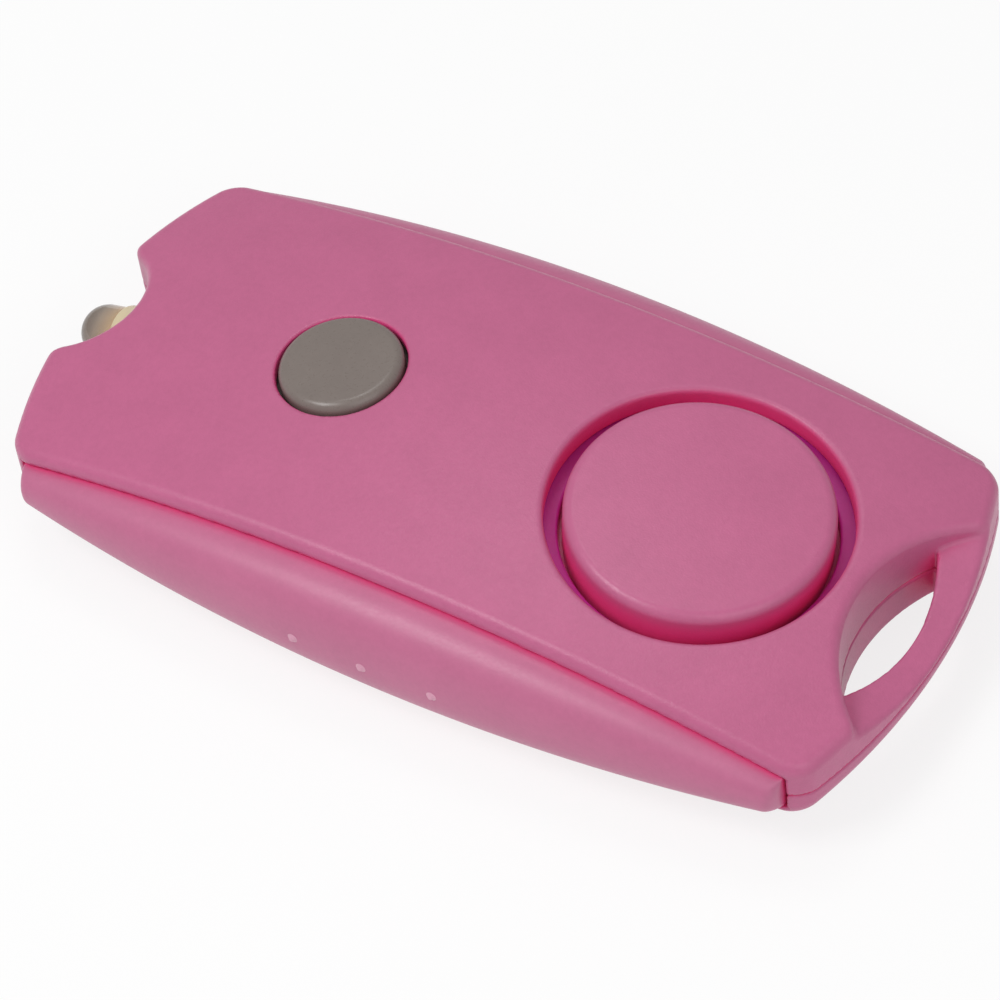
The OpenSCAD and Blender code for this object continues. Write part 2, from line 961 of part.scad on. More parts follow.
// The coil and the capacitor stand on the alarm board, one on each side of its switch
module boost_coil_core() {
  color([0.22, 0.22, 0.24])
    on_crest(alarm_x)
      translate([0, part_y, alarm_board_z]) {
        cylinder(r = coil_r, h = coil_rim);
        cylinder(r = coil_r / 2, h = coil_h);
        translate([0, 0, coil_h - coil_rim])
          cylinder(r = coil_r, h = coil_rim);
      }
}

module boost_coil_winding() {
  color([0.72, 0.4, 0.2])
    on_crest(alarm_x)
      translate([0, part_y, alarm_board_z + coil_rim])
        difference() {
          cylinder(r = coil_r - 0.3, h = coil_h - 2 * coil_rim);
          translate([0, 0, -1])
            cylinder(r = coil_r / 2, h = coil_h);
        }
}

module capacitor() {
  color([0.2, 0.25, 0.5])
    on_crest(alarm_x)
      translate([0, -part_y, alarm_board_z])
        cylinder(r = 2, h = 3.4);
}

module transistor() {
  x = torch_switch_x - switch_w / 2 - 2;
  color(black)
    box([x, -1.4, board_z], [x + 1.4, 1.4, board_z + 1.1]);
}

module chip_resistors() {
  color(black)
    for (i = [0 : 3])
      translate([board_left + 0.3 + 1.45 * i, -4.6, board_z])
        cube([1.2, 2, 0.5]);
}

module battery_wire(y) {
  x_end = board_right - 1;
  wire([[battery_x - contact_half, y, wire_z], [x_end, y, wire_z], [x_end, y, board_z]], wire_r);
}

module battery_wire_red() {
  color([0.75, 0.1, 0.1])
    battery_wire(stack_l / 2 + contact_t + 0.15);
}

module battery_wire_black() {
  color(black)
    battery_wire(-stack_l / 2 - spring_l - contact_t / 2);
}

// Wires that run past the battery, one on each side, and come down on the main board
module piezo_wires() {
  plate_z = piezo_z + gasket_t + plate_t;
  color([0.75, 0.1, 0.1])
    for (s = [-1, 1])
      wire([[piezo_x - 6.7, s * 2.2, plate_z + wire_r], [piezo_x - 9.1, s * side_wire_y, plate_z + 0.8],
            [board_right - 1.5, s * side_wire_y, board_z + wire_r + 0.25]], wire_r);
}

// Point over the alarm board, measured along it and up from the cover's crest
function alarm_point(x, y, z) =
  [alarm_x + x * cos(crest_tilt(alarm_x)) + z * sin(crest_tilt(alarm_x)), y,
   crest_z(alarm_x) + z * cos(crest_tilt(alarm_x)) - x * sin(crest_tilt(alarm_x))];

module alarm_switch_wires() {
  x_end = board_right - 2.8;
  color([0.85, 0.85, 0.8])
    for (s = [-1, 1])
      wire([alarm_point(0.9 - alarm_board_l / 2, s * side_wire_y, alarm_board_z + wire_r + 0.12),
            [x_end, s * side_wire_y, board_z + 2.5], [x_end, s * side_wire_y, board_z]], wire_r);
}

module case_screws() {
  color(steel)
    for (p = screw_at) {
      translate([p[0], p[1], seat_z(p[0])]) {
        cylinder(r = screw_r, h = screw_l);
        translate([0, 0, -screw_head_t])
          difference() {
            cylinder(r = screw_head_r, h = screw_head_t);
            for (a = [0, 90])
              rotate([0, 0, a])
                translate([-1.2, -0.25, -1])
                  cube([2.4, 0.5, 1.6]);
          }
      }
    }
}

top_cover();
bottom_cover();
side_button_left();
side_button_right();
alarm_button();
sound_ring();
torch_button();
torch_led();
led_collar();
led_leads();
circuit_board();
torch_switch();
torch_switch_plunger();
side_switch_left();
side_switch_plunger_left();
side_switch_right();
side_switch_plunger_right();
alarm_board();
alarm_switch();
alarm_switch_plunger();
piezo_plate();
piezo_ceramic();
piezo_gasket();
battery_holder();
battery_cells();
battery_contact_plate();
battery_contact_spring();
driver_chip();
boost_coil_core();
boost_coil_winding();
capacitor();
transistor();
chip_resistors();
battery_wire_red();
battery_wire_black();
piezo_wires();
alarm_switch_wires();
case_screws();
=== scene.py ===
"""Dresses the pocket safety alarm: moulded covers, buttons, lamp, materials, light and camera.

Shapes are worked out in millimetres, in the frame's own axes, and written to meshes in metres.
"""

import json
import math

import bpy
import numpy as np
from mathutils import Matrix, Vector

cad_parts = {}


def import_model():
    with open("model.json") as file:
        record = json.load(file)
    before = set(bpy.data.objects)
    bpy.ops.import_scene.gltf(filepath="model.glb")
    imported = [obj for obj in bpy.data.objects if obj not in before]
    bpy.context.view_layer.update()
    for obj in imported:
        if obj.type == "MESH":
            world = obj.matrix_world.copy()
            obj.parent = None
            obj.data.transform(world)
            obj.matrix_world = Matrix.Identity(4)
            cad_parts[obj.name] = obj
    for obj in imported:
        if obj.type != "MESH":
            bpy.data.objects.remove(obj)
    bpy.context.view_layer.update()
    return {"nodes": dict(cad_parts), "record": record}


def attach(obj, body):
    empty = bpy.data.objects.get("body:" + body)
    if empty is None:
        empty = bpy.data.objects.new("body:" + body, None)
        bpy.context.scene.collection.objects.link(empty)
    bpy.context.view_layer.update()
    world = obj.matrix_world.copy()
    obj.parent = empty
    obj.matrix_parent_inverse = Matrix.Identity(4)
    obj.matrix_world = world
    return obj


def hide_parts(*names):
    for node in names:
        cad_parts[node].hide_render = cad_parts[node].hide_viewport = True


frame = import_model()

MM = 0.001

# Case, as in the part's source
BODY_L = 83.0
COVER_W = 35.2
ARCH_RISE = 4.7
SIDE_H = 13.9
RIM_H = 1.3
CROWN_H = 1.4
SEAM_LOW = 0.2
REST_L = 22.0
WALL = 1.3
LAMP_BOW = 3.85
RING_BOW = 3.3

# Side buttons
BULGE = 4.4
FULLNESS = 2.3
TIP_BULGE = 1.7
TIP_LAMP = 36.5
TIP_RING = 36.6
TIP_ROUND = 1.1
PANEL_GAP = 0.25
SKIN_BACK = 1.2
EDGE_TUCK = 0.3
RIB_Y = 15.2
PIP_PITCH = 6.7
PIP_R = 0.62
PIP_RISE = 0.295
PIP_SINK = 0.06

# Alarm button and its well
ALARM_X = 19.95
ALARM_R = 11.2
ALARM_HOLE_R = 12.75
WELL_DEPTH = 3.0
ALARM_TOP = 0.25
ALARM_DISH = 0.02
ALARM_ROLL = 0.95
ALARM_SKIRT_T = 1.3
ALARM_CAP_T = 1.4
ALARM_STEM_R = 1.6
ALARM_STEM_Z = -3.4
ALARM_FLANGE_R = 13.05
ALARM_FLANGE_T = 0.8
ALARM_RING_R = 13.25
ALARM_RING_T = 1.0
ALARM_RING_ROLL = 0.25
ALARM_RING_GAP = 0.35

# Torch button and lamp
TORCH_X = -14.6
TORCH_R = 5.4
TORCH_RISE = 0.55
TORCH_DISH = 0.06
TORCH_ROLL = 0.85
TORCH_FLANGE_R = 6.5
TORCH_FLANGE_Z = -1.9
TORCH_FLANGE_T = 0.8
TORCH_STEM_R = 1.5
TORCH_STEM_Z = -3.7
LAMP_R = 2.498
LAMP_X = -39.9
LAMP_DROP = 0.6
LAMP_TILT = math.radians(15.0)
LAMP_STEM_R = LAMP_R - 0.6
LAMP_STEM_L = 4.5
COLLAR_R = LAMP_R + 0.25
COLLAR_BORE_R = LAMP_R - 0.55
COLLAR_ROLL = 0.2
COLLAR_FROM = 2.2
COLLAR_TO = 7.0
BORE_GAP = 0.1

# Lamp notch: as wide as in the part's source, and about 1 mm deeper
NOTCH_R = 6.2
NOTCH_OUT = 1.4

# Ring slot
SLOT_IN_X = 34.4
SLOT_OUT_X = 39.1
SLOT_IN_R = 14.3
SLOT_OUT_R = 18.0
SLOT_BLUNT = 0.5
BAR_RISE = 1.0
SCOOP_R = 38.0
SCOOP_SLOPE = math.radians(12.0)

# Clearance of the moving buttons
SLIDE_GAP = 0.3

# Screws, with their posts in the top cover and sleeves in the bottom cover
SCREWS = [(-29.0, 9.5), (-29.0, -9.5), (33.0, 10.3), (33.0, -10.3)]
SCREW_HOLE_R = 1.15
SCREW_SINK_R = 2.0
SCREW_SINK = 1.6
POST_R = 2.2
SLEEVE_R = 2.4

# Roundings of the moulded edges
COVER_ROUND = 0.9
LOW_ROUND = 1.5
CORNER_ROUND = 1.8
LOBE_ROUND = 1.4
NOTCH_ROUND = 1.1
LIP_ROUND = 0.22
WELL_ROUND = 0.55
TORCH_HOLE_ROUND = 0.3
SLOT_ROUND = 0.8
BAR_ROUND = 0.3
BORE_ROUND = 0.1
REST_ROUND = 0.3
SINK_ROUND = 0.15
SEAM_GAP = 0.06

# Gain of the slot edge's rounding for each millimetre above the bar
SLOT_SOFTENS = 0.3

# Derived
HALF_L = BODY_L / 2
ARCH_R = (HALF_L**2 + ARCH_RISE**2) / (2 * ARCH_RISE)
HALF_W = COVER_W / 2
HALF_H = SIDE_H / 2
FLAT_CUT = ARCH_R - math.sqrt(ARCH_R**2 - REST_L**2 / 4)
MID_Z = HALF_H - FLAT_CUT
SEAM_Z = MID_Z - SEAM_LOW
AXIS_UP_Z = MID_Z + HALF_H - ARCH_R
AXIS_LOW_Z = MID_Z - HALF_H + ARCH_R
TOP_R = ARCH_R + CROWN_H
CROWN_R = (HALF_W**2 + CROWN_H**2) / (2 * CROWN_H)
LAMP_END_R = (HALF_W**2 + LAMP_BOW**2) / (2 * LAMP_BOW)
RING_END_R = (HALF_W**2 + RING_BOW**2) / (2 * RING_BOW)
LAMP_Z = MID_Z - LAMP_DROP
NOTCH_X = -HALF_L - NOTCH_OUT
SLOT_IN_C = SLOT_IN_X + SLOT_IN_R
SLOT_OUT_C = SLOT_OUT_X - SLOT_OUT_R
BAR_Z = SEAM_Z + BAR_RISE


def drop(x):
    """Fall of the arch at distance x from mid-length."""
    return ARCH_R - np.sqrt(ARCH_R**2 - np.square(x))


def crest_frame(x):
    """Frame on the cover's crest at x, with its third axis along the cover's normal."""
    s = x / TOP_R
    c = math.sqrt(1 - s * s)
    return Matrix(((c, 0, s, x), (0, 1, 0, 0), (-s, 0, c, AXIS_UP_Z + TOP_R * c), (0, 0, 0, 1)))


def lamp_frame():
    """Frame in the middle of the lamp's dome, with its third axis running back into the case."""
    s, c = math.sin(LAMP_TILT), math.cos(LAMP_TILT)
    return Matrix(((s, 0, c, LAMP_X), (0, 1, 0, 0), (-c, 0, s, LAMP_Z), (0, 0, 0, 1)))


# Distance fields. Each takes x, y and z arrays and is negative inside the shape.


def round_max(a, b, r):
    """What is inside both a and b, with a rounding of radius r where they meet."""
    return np.minimum(np.maximum(a, b), -r) + np.hypot(np.maximum(a + r, 0), np.maximum(b + r, 0))


def cut(body, tool, r):
    """Body without the tool, with the new edge rounded."""
    return round_max(body, -tool, r)


def radius_up(x, z):
    """Distance from the axis of the top arch."""
    return np.hypot(x, z - AXIS_UP_Z)


def radius_low(x, z):
    """Distance from the axis of the bottom arch."""
    return np.hypot(x, z - AXIS_LOW_Z)


def disc(x, y, cx, r):
    """Upright round column centred on the XZ plane."""
    return np.hypot(x - cx, y) - r


def plan(x, y):
    """Outline of the case seen from above, with soft corners."""
    lamp_c = LAMP_END_R - HALF_L
    ring_c = HALF_L - RING_END_R
    lamp_end = np.hypot(np.minimum(x - lamp_c, 0), y) - LAMP_END_R
    ring_end = np.hypot(np.maximum(x - ring_c, 0), y) - RING_END_R
    return round_max(np.abs(y) - HALF_W, np.maximum(lamp_end, ring_end), CORNER_ROUND)


def slot_lens(x, y):
    """Ring slot: where two discs overlap, with blunt tips."""
    return round_max(disc(x, y, SLOT_IN_C, SLOT_IN_R), disc(x, y, SLOT_OUT_C, SLOT_OUT_R), SLOT_BLUNT)


def along(m, x, y, z):
    """Distance from a frame's third axis, and position along it."""
    o, n = m.translation, m.col[2]
    dx, dy, dz = x - o[0], y - o[1], z - o[2]
    h = dx * n[0] + dy * n[1] + dz * n[2]
    return np.sqrt(np.maximum(dx * dx + dy * dy + dz * dz - h * h, 0)), h


def slot_and_scoop(x, y, z):
    """Ring slot, with the dished recess over the bar that closes it."""
    s, c = math.sin(SCOOP_SLOPE), math.cos(SCOOP_SLOPE)
    dish = np.hypot((x - SLOT_OUT_X) * s + (z - BAR_Z) * c - SCOOP_R, y) - SCOOP_R
    bar = round_max(-disc(x, y, SLOT_OUT_C, SLOT_OUT_R), -dish, BAR_ROUND)
    return round_max(disc(x, y, SLOT_IN_C, SLOT_IN_R), -bar, BAR_ROUND)


def slot_wall(x, y):
    """Round region at the ring slot end that stays solid."""
    return disc(x, y, SLOT_IN_C, SLOT_IN_R + WALL)


def end_wall(x, y):
    """Outline of the space inside the walls, with walls round the notch and the slot."""
    walls = np.maximum(-disc(x, y, NOTCH_X, NOTCH_R + WALL), -slot_wall(x, y))
    return np.maximum(plan(x, y) + WALL, walls)


def end_cuts(d, x, y, z, slot):
    """Ring slot and lamp bore, through either cover. The slot's edge is softest at the top."""
    d = cut(d, slot, np.clip(BAR_ROUND + (z - BAR_Z) * SLOT_SOFTENS, BAR_ROUND, SLOT_ROUND))
    rho, h = along(lamp_frame(), x, y, z)
    bore = np.maximum(rho - COLLAR_R - BORE_GAP, np.abs(h - COLLAR_TO / 2) - COLLAR_TO / 2)
    return cut(d, bore, BORE_ROUND)


def side_opening(x, y, z):
    """Lens-shaped openings in both side walls."""
    lens = np.maximum(radius_up(x, z), radius_low(x, z)) - (ARCH_R - RIM_H)
    lens = np.maximum(lens, np.maximum(-TIP_LAMP - PANEL_GAP - x, x - TIP_RING - PANEL_GAP))
    return np.maximum(lens, RIB_Y - np.abs(y))


def top_cover_field(x, y, z):
    """Top cover: a crowned shell with the button wells, the notch, the slot and the screw posts."""
    r = radius_up(x, z)
    crown = np.sqrt(CROWN_R**2 - y * y) - CROWN_R + CROWN_H
    notch = disc(x, y, NOTCH_X, NOTCH_R)
    over_seam = SEAM_Z + SEAM_GAP / 2 - z
    outline = cut(plan(x, y), notch, LOBE_ROUND)
    body = round_max(r - (ARCH_R + crown), outline, COVER_ROUND)
    body = cut(body, notch, NOTCH_ROUND)
    body = round_max(body, over_seam, LIP_ROUND)
    hollow = np.maximum(r - (ARCH_R + crown - WALL), end_wall(x, y))
    d = np.maximum(body, -hollow)
    d = cut(d, side_opening(x, y, z), LIP_ROUND)
    rho, h = along(crest_frame(ALARM_X), x, y, z)
    d = np.minimum(d, np.maximum(np.maximum(rho - ALARM_HOLE_R - WALL, -WELL_DEPTH - h), body))
    for sx, sy in SCREWS:
        post = np.maximum(np.hypot(x - sx, y - sy) - POST_R, r - (ARCH_R - WALL / 2))
        d = np.minimum(d, np.maximum(post, over_seam))
    d = cut(d, rho - ALARM_HOLE_R, WELL_ROUND)
    rho, h = along(crest_frame(TORCH_X), x, y, z)
    d = cut(d, rho - TORCH_R - SLIDE_GAP, TORCH_HOLE_ROUND)
    return end_cuts(d, x, y, z, slot_and_scoop(x, y, z))


def bottom_cover_field(x, y, z):
    """Bottom cover: an arched shell with a flat to rest on, and sleeves for the screws."""
    rl = radius_low(x, z)
    under_seam = z - (SEAM_Z - SEAM_GAP / 2)
    notch = disc(x, y, NOTCH_X, NOTCH_R)
    outline = cut(plan(x, y), notch, LOBE_ROUND)
    d = cut(round_max(rl - ARCH_R, outline, LOW_ROUND), notch, NOTCH_ROUND)
    d = round_max(d, -z, REST_ROUND)
    d = round_max(d, under_seam, LIP_ROUND)
    hollow = np.maximum(rl - (ARCH_R - WALL), end_wall(x, y))
    d = np.maximum(d, -hollow)
    d = cut(d, side_opening(x, y, z), LIP_ROUND)
    inside = np.maximum(rl - (ARCH_R - WALL / 2), under_seam)
    for sx, sy in SCREWS:
        rho = np.hypot(x - sx, y - sy)
        seat_z = AXIS_LOW_Z - math.sqrt(ARCH_R**2 - sx * sx) + SCREW_SINK
        d = np.minimum(d, np.maximum(rho - SLEEVE_R, inside))
        d = np.maximum(d, SCREW_HOLE_R - rho)
        d = cut(d, np.maximum(rho - SCREW_SINK_R, z - seat_z), SINK_ROUND)
    return end_cuts(d, x, y, z, slot_lens(x, y))


# Meshes


def surface_net(field, lo, hi, cell):
    """Quad mesh on a field's zero surface: one point per cell, moved onto the surface."""
    axes = [np.arange(a - cell, b + 2 * cell, cell) for a, b in zip(lo, hi)]
    grid = np.meshgrid(*axes, indexing="ij")
    v = field(*grid)
    inside = v < 0
    shape = tuple(n - 1 for n in v.shape)

    def corner(a, i, j, k):
        return a[i:i + shape[0], j:j + shape[1], k:k + shape[2]]

    offsets = [(i, j, k) for i in (0, 1) for j in (0, 1) for k in (0, 1)]
    count = sum(corner(inside, *o).astype(np.int8) for o in offsets)
    active = (count > 0) & (count < 8)
    cells = np.argwhere(active)
    total = np.zeros((len(cells), 3))
    hits = np.zeros(len(cells))
    for a in offsets:
        for axis in range(3):
            if a[axis]:
                continue
            b = list(a)
            b[axis] = 1
            va = corner(v, *a)[active]
            vb = corner(v, *b)[active]
            crossing = (va < 0) != (vb < 0)
            t = np.where(crossing, va / np.where(crossing, va - vb, 1), 0)
            point = np.tile(np.array(a, float), (len(cells), 1))
            point[:, axis] += t
            total += point * crossing[:, None]
            hits += crossing
    points = np.array([a[0] for a in axes]) + cell * (cells + total / hits[:, None])
    number = np.full(shape, -1)
    number[active] = np.arange(len(cells))
    quads = []
    for axis in range(3):
        u, w = (axis + 1) % 3, (axis + 2) % 3
        low = [slice(1, -1)] * 3
        low[axis] = slice(0, -1)
        high = list(low)
        high[axis] = slice(1, None)
        a, b = inside[tuple(low)], inside[tuple(high)]
        for flip, edges in ((False, a & ~b), (True, ~a & b)):
            base = np.argwhere(edges)
            base[:, u] += 1
            base[:, w] += 1
            ring = []
            for du, dw in ((1, 1), (0, 1), (0, 0), (1, 0)):
                at = base.copy()
                at[:, u] -= du
                at[:, w] -= dw
                ring.append(number[at[:, 0], at[:, 1], at[:, 2]])
            quad = np.stack(ring, 1)
            quads.append(quad[:, ::-1] if flip else quad)
    start = points.copy()
    for _ in range(5):
        d, g = field_and_slope(field, points)
        step = d[:, None] * g / np.maximum((g * g).sum(1), 0.2)[:, None]
        points = start + np.clip(points - step - start, -cell, cell)
    return points, np.concatenate(quads), field_and_slope(field, points)[1]


def field_and_slope(field, points, eps=0.01):
    """A field's value and gradient at points."""
    x, y, z = points.T
    g = [field(x + eps * i, y + eps * j, z + eps * k) - field(x - eps * i, y - eps * j, z - eps * k)
         for i, j, k in ((1, 0, 0), (0, 1, 0), (0, 0, 1))]
    return field(x, y, z), np.stack(g, 1) / (2 * eps)


def add_mesh(name, points, faces, sharp=None):
    """Object from millimetre points. Edges sharper than the angle, in degrees, stay crisp."""
    me = bpy.data.meshes.new(name)
    me.from_pydata((np.asarray(points) * MM).tolist(), [], [list(map(int, f)) for f in faces])
    me.validate()
    me.shade_smooth()
    if sharp:
        me.set_sharp_from_angle(angle=math.radians(sharp))
    ob = bpy.data.objects.new(name, me)
    bpy.context.scene.collection.objects.link(ob)
    return ob


def moulded(name, field, lo, hi, cell):
    """Piece meshed from a distance field, shaded by the field's own slope."""
    points, quads, normals = surface_net(field, lo, hi, cell)
    ob = add_mesh(name, points, quads)
    ob.data.normals_split_custom_set_from_vertices(normals.tolist())
    return ob


def arc(cx, cy, r, a0, a1, n=10):
    """Points on an arc, angles in degrees."""
    return [(cx + r * math.cos(math.radians(a)), cy + r * math.sin(math.radians(a)))
            for a in np.linspace(a0, a1, n)]


def lathe(name, profile, m, segments=128, ring=False, sharp=40):
    """Profile of (radius, height) pairs turned about a frame's third axis."""
    points, faces, rows = [], [], []
    for r, h in profile:
        if r < 1e-6:
            rows.append([len(points)])
            points.append(m @ Vector((0, 0, h)))
            continue
        rows.append(list(range(len(points), len(points) + segments)))
        for i in range(segments):
            a = 2 * math.pi * i / segments
            points.append(m @ Vector((r * math.cos(a), r * math.sin(a), h)))
    pairs = list(zip(rows, rows[1:])) + ([(rows[-1], rows[0])] if ring else [])
    for a, b in pairs:
        for i in range(segments):
            j = (i + 1) % segments
            if len(a) == 1:
                faces.append((a[0], b[j], b[i]))
            elif len(b) == 1:
                faces.append((a[i], a[j], b[0]))
            else:
                faces.append((a[i], a[j], b[j], b[i]))
    return add_mesh(name, [tuple(p) for p in points], faces, sharp)


# Side buttons


def panel_half(x):
    """Half the height of a side button at x."""
    return HALF_H - RIM_H - PANEL_GAP - float(drop(x))


def panel_bulge(x):
    """How far a side button stands past the covers at x."""
    return BULGE - (BULGE - TIP_BULGE) * float(drop(x) / drop(TIP_RING))


def full(v):
    """Squares off a section: a power of a sine or cosine that keeps its sign."""
    return math.copysign(abs(v) ** (2 / FULLNESS), v)


def panel_point(x, angle, side):
    """Point of a side button's outer face, at an angle from its upper edge."""
    a = math.radians(angle)
    y = HALF_W + panel_bulge(x) * full(math.sin(a))
    return x, side * y, MID_Z + panel_half(x) * full(math.cos(a))


def side_button(name, side):
    """Bulging lens with rounded tips: sections along x, each closed at the back."""
    stations, steps = 180, 56
    back = HALF_W - SKIN_BACK
    points = []
    for i in range(stations + 1):
        t = -math.cos(math.pi * i / stations)
        x = t * (TIP_LAMP if t < 0 else TIP_RING)
        over = max(0.0, abs(x) - (TIP_LAMP if x < 0 else TIP_RING) + TIP_ROUND) / TIP_ROUND
        shrink = max(math.sqrt(max(1 - over * over, 0)), 0.02)
        half = panel_half(x)
        bulge = panel_bulge(x) * shrink
        for j in range(steps + 1):
            a = math.pi * j / steps
            y = HALF_W - EDGE_TUCK + (bulge + EDGE_TUCK) * full(math.sin(a))
            points.append((x, side * y, MID_Z + half * full(math.cos(a))))
        points.append((x, side * back, MID_Z - half))
        points.append((x, side * back, MID_Z + half))
    n = steps + 3
    faces = []
    for i in range(stations):
        for j in range(n):
            k = (j + 1) % n
            faces.append((i * n + j, i * n + k, (i + 1) * n + k, (i + 1) * n + j))
    faces.append(tuple(range(n))[::-1])
    faces.append(tuple(stations * n + j for j in range(n)))
    if side < 0:
        faces = [f[::-1] for f in faces]
    return add_mesh(name, points, faces, 50)


def grip_pips(name, side):
    """Three small domes that flow out of a side button."""
    points, faces = [], []
    rings, segments = 7, 24
    for i in (-1, 0, 1):
        x = i * PIP_PITCH
        p = Vector(panel_point(x, 90, side))
        du = Vector(panel_point(x + 0.1, 90, side)) - Vector(panel_point(x - 0.1, 90, side))
        dv = Vector(panel_point(x, 93, side)) - Vector(panel_point(x, 87, side))
        n = du.cross(dv).normalized()
        n = n if n.y * side > 0 else -n
        u = du.normalized()
        v = n.cross(u)
        base = len(points)
        points.append(p + n * PIP_RISE)
        for k in range(1, rings + 1):
            f = k / rings
            h = PIP_RISE * (math.cos(math.pi * f) + 1) / 2 - PIP_SINK * f
            for s in range(segments):
                a = 2 * math.pi * s / segments
                points.append(p + n * h + (u * math.cos(a) + v * math.sin(a)) * (PIP_R * f))
        for s in range(segments):
            t = (s + 1) % segments
            faces.append((base, base + 1 + s, base + 1 + t))
            for k in range(rings - 1):
                a, b = base + 1 + k * segments, base + 1 + (k + 1) * segments
                faces.append((a + s, b + s, b + t, a + t))
    return add_mesh(name, [tuple(p) for p in points], faces)


# Materials


class Look:
    """A principled material under construction, with texture coordinates in millimetres."""

    def __init__(self, name):
        self.mat = bpy.data.materials.new(name)
        self.mat.use_nodes = True
        self.tree = self.mat.node_tree
        self.shader = self.tree.nodes["Principled BSDF"]
        coords = self.tree.nodes.new("ShaderNodeTexCoord")
        scale = self.tree.nodes.new("ShaderNodeVectorMath")
        scale.operation = "SCALE"
        scale.inputs["Scale"].default_value = 1 / MM
        self.link(coords.outputs["Object"], scale.inputs[0])
        self.mm = scale.outputs[0]

    def link(self, a, b):
        self.tree.links.new(a, b)

    def set(self, **values):
        for key, value in values.items():
            self.shader.inputs[key.replace("_", " ")].default_value = value
        return self

    def noise(self, scale, detail=2.0, rough=0.5):
        node = self.tree.nodes.new("ShaderNodeTexNoise")
        node.inputs["Scale"].default_value = scale
        node.inputs["Detail"].default_value = detail
        node.inputs["Roughness"].default_value = rough
        self.link(self.mm, node.inputs["Vector"])
        return node.outputs["Fac"]

    def ramp(self, fac, low, high, start=0.3, end=0.7):
        node = self.tree.nodes.new("ShaderNodeValToRGB")
        ends = node.color_ramp.elements
        ends[0].position, ends[1].position = start, end
        ends[0].color, ends[1].color = (*low, 1), (*high, 1)
        self.link(fac, node.inputs["Fac"])
        return node.outputs["Color"]

    def spread(self, fac, low, high, start=0.3, end=0.7):
        node = self.tree.nodes.new("ShaderNodeMapRange")
        node.inputs["From Min"].default_value = start
        node.inputs["From Max"].default_value = end
        node.inputs["To Min"].default_value = low
        node.inputs["To Max"].default_value = high
        self.link(fac, node.inputs["Value"])
        return node.outputs["Result"]

    def place(self, axis, low, high):
        """Position along an axis, 0 to 1 between two places in millimetres."""
        node = self.tree.nodes.new("ShaderNodeSeparateXYZ")
        self.link(self.mm, node.inputs[0])
        return self.spread(node.outputs[axis], 0.0, 1.0, low, high)

    def mix(self, fac, a, b, mode="MIX"):
        node = self.tree.nodes.new("ShaderNodeMix")
        node.data_type = "RGBA"
        node.blend_type = mode
        if isinstance(fac, float):
            node.inputs["Factor"].default_value = fac
        else:
            self.link(fac, node.inputs["Factor"])
        self.link(a, node.inputs["A"])
        if isinstance(b, tuple):
            node.inputs["B"].default_value = (*b, 1)
        else:
            self.link(b, node.inputs["B"])
        return node.outputs["Result"]

    def bump(self, height, distance, strength):
        node = self.tree.nodes.new("ShaderNodeBump")
        node.inputs["Strength"].default_value = strength
        node.inputs["Distance"].default_value = distance * MM
        self.link(height, node.inputs["Height"])
        return node.outputs["Normal"]

    def painted_crevice_shade(self, tint, painted_shade_colour, reach, amount):
        """Painted shade: blends a colour toward a deep crimson where ambient occlusion finds walls close
        by, standing in for the shade and bounced light in creases and recesses.
        """
        node = self.tree.nodes.new("ShaderNodeAmbientOcclusion")
        node.samples = 8
        node.inputs["Distance"].default_value = reach * MM
        node.inputs["Color"].default_value = (1, 1, 1, 1)
        return self.mix(self.spread(node.outputs["AO"], amount, 0.0, 0.25, 0.85), tint, painted_shade_colour)

    def finish(self, color=None, rough=None, normal=None):
        for value, key in ((color, "Base Color"), (rough, "Roughness"), (normal, "Normal")):
            if value is not None:
                self.link(value, self.shader.inputs[key])
        return self.mat


def shade(color, k):
    """A colour made lighter or darker."""
    return tuple(min(1.0, c * k) for c in color)


def plastic(name, color, rough, grain, grain_scale, mottle=0.05, painted_shade_colour=None):
    """Moulded plastic: a fine eroded grain and faint mottling, with painted shade that deepens the colour
    in its crevices.
    """
    look = Look(name)
    look.set(Specular_IOR_Level=0.45)
    fine = look.noise(grain_scale, 2.0, 0.6)
    broad = look.noise(0.25, 3.0)
    tint = look.ramp(broad, shade(color, 1 - mottle), shade(color, 1 + mottle))
    speck = look.ramp(look.noise(1.7, 4.0, 0.7), shade(color, 0.93), shade(color, 1.03), 0.35, 0.65)
    tint = look.mix(0.5, tint, speck)
    # Painted shade: crevices and recesses take a deeper colour through ambient occlusion.
    if painted_shade_colour:
        tint = look.painted_crevice_shade(tint, painted_shade_colour, 3.0, 0.85)
    return look.finish(tint, look.spread(fine, rough - 0.05, rough + 0.07),
                       look.bump(fine, grain, 0.6))


def metal(name, color, rough, scratch=0.06):
    """Plated or rolled metal with fine scratches."""
    look = Look(name)
    look.set(Metallic=1.0)
    streak = look.noise(6.0, 4.0, 0.7)
    tint = look.ramp(streak, shade(color, 0.9), color)
    return look.finish(tint, look.spread(streak, rough - scratch, rough + scratch),
                       look.bump(streak, 0.01, 0.3))


PINK = (0.533, 0.128, 0.262)
PINK_SIDE = (0.535, 0.15, 0.277)
PINK_PALE = (0.68, 0.33, 0.45)
# Painted shade: the deep crimson laid into crevices in place of their shade and bounced light.
PAINTED_SHADE_CRIMSON = (0.92, 0.055, 0.26)
PURPLE = (0.56, 0.03, 0.36)
GREY = (0.205, 0.17, 0.153)
CREAM = (0.72, 0.62, 0.40)

